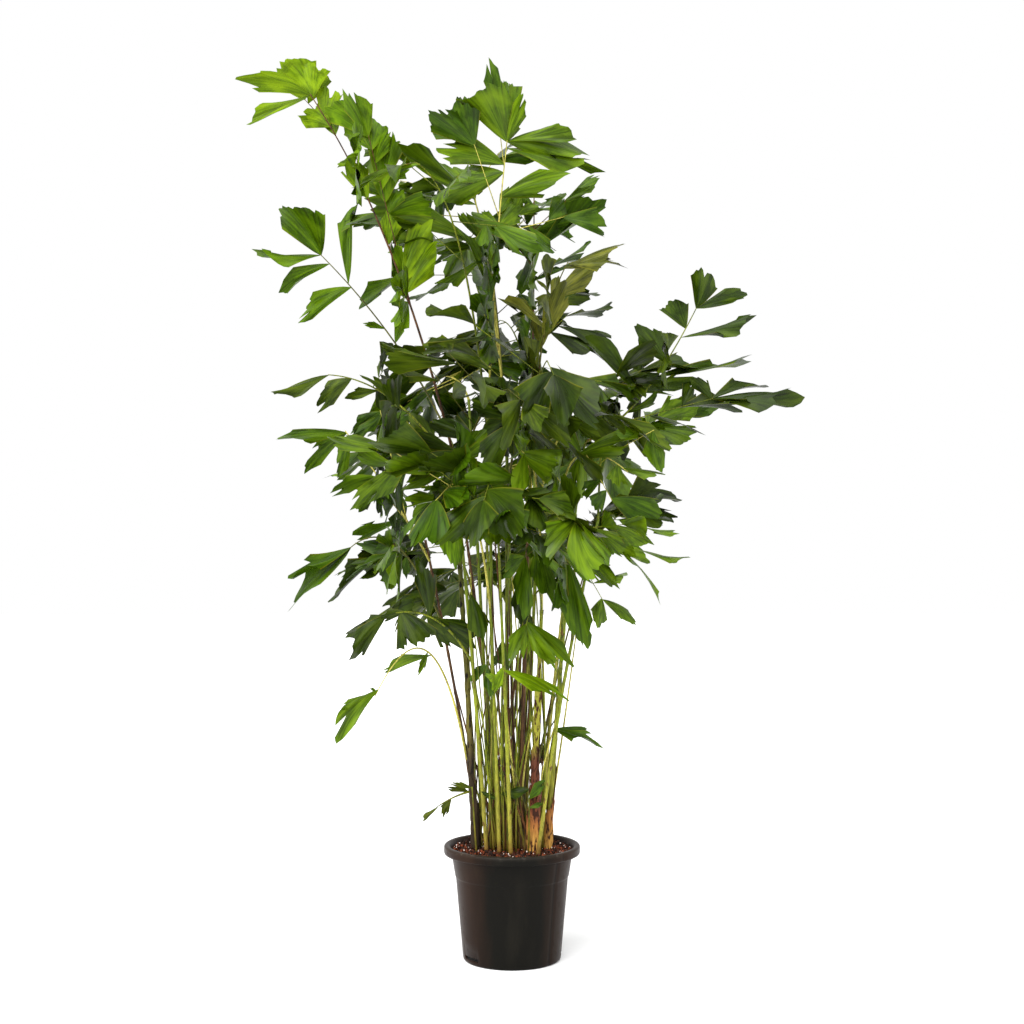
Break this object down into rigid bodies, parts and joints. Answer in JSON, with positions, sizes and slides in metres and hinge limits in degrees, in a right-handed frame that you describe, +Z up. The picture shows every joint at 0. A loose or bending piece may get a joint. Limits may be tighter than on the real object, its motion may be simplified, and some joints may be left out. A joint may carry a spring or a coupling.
{
  "type": "clustering fishtail palm",
  "caption": "Clustering fishtail palm with slender upright canes and arching fronds of ragged, wedge-shaped leaflets, growing in a tapered plastic nursery pot.",
  "frame": {"origin": "centre of the pot's flat underside, on the ground", "axes": "+Z up along the canes, +X to the right and +Y away from someone who looks at the plant's front"},
  "size_m": [1.4102, 1.346, 2.2524],
  "materials": {
    "pot": "satin, very dark grey-brown moulded plastic",
    "soil": "moist, crumbly reddish-brown bark mix",
    "cane_bark": "dark fibrous sheath",
    "cane_brown": "brown, satin",
    "cane_green": "smooth yellow-green, satin",
    "cane_sheath": "orange-brown fibrous sheath",
    "frond_bright": "glossy yellow-green leaf",
    "frond_mid": "glossy mid green leaf",
    "frond_olive": "dull olive leaf",
    "frond_dark": "glossy dark green leaf"
  },
  "bodies": {
    "root": {"pot": "pot", "soil": "soil", "cane_dark_left": "cane_bark", "cane_left_outer": "cane_brown", "cane_left_front": "cane_green", "cane_left_back": "cane_green", "cane_middle_left": "cane_green", "cane_front_left": "cane_green", "cane_middle": "cane_green", "cane_front": "cane_green", "cane_back": "cane_green", "cane_brown": "cane_brown", "cane_middle_back": "cane_green", "cane_sheathed": "cane_sheath", "cane_right": "cane_green", "cane_right_middle": "cane_green", "cane_right_front": "cane_green", "cane_back_left": "cane_brown", "cane_far_back": "cane_green", "cane_back_right": "cane_green", "frond_upper_left": "frond_bright", "frond_left_high": "frond_bright", "frond_top": "frond_mid", "frond_top_left": "frond_mid", "frond_thin_brown": "frond_mid", "frond_olive": "frond_olive", "frond_right": "frond_dark", "frond_right_middle": "frond_mid", "frond_right_low": "frond_mid", "frond_hanging": "frond_mid", "frond_right_bottom": "frond_mid", "frond_centre_flag": "frond_mid", "frond_centre_front": "frond_bright", "frond_centre_dark": "frond_dark", "frond_left_arched": "frond_dark", "frond_left_middle": "frond_mid", "frond_left_inner": "frond_mid", "frond_left_low": "frond_mid", "frond_left_drooping": "frond_dark", "frond_left_bottom": "frond_mid", "frond_low_bright": "frond_bright", "frond_low_right": "frond_mid", "frond_low_left": "frond_olive", "frond_back_top": "frond_mid", "frond_front_top": "frond_mid", "frond_back_high": "frond_mid", "frond_far_back_high": "frond_dark", "frond_back_left_high": "frond_mid", "frond_front_high": "frond_dark", "frond_back_left": "frond_mid", "frond_back_left_low": "frond_dark", "frond_far_back": "frond_mid", "frond_back_right": "frond_mid", "frond_back_right_low": "frond_dark", "frond_back_low": "frond_dark", "frond_front_left": "frond_mid", "frond_front_right": "frond_mid", "frond_front_middle": "frond_dark", "frond_front_low": "frond_dark", "frond_right_side": "frond_dark"}
  },
  "joints": []
}
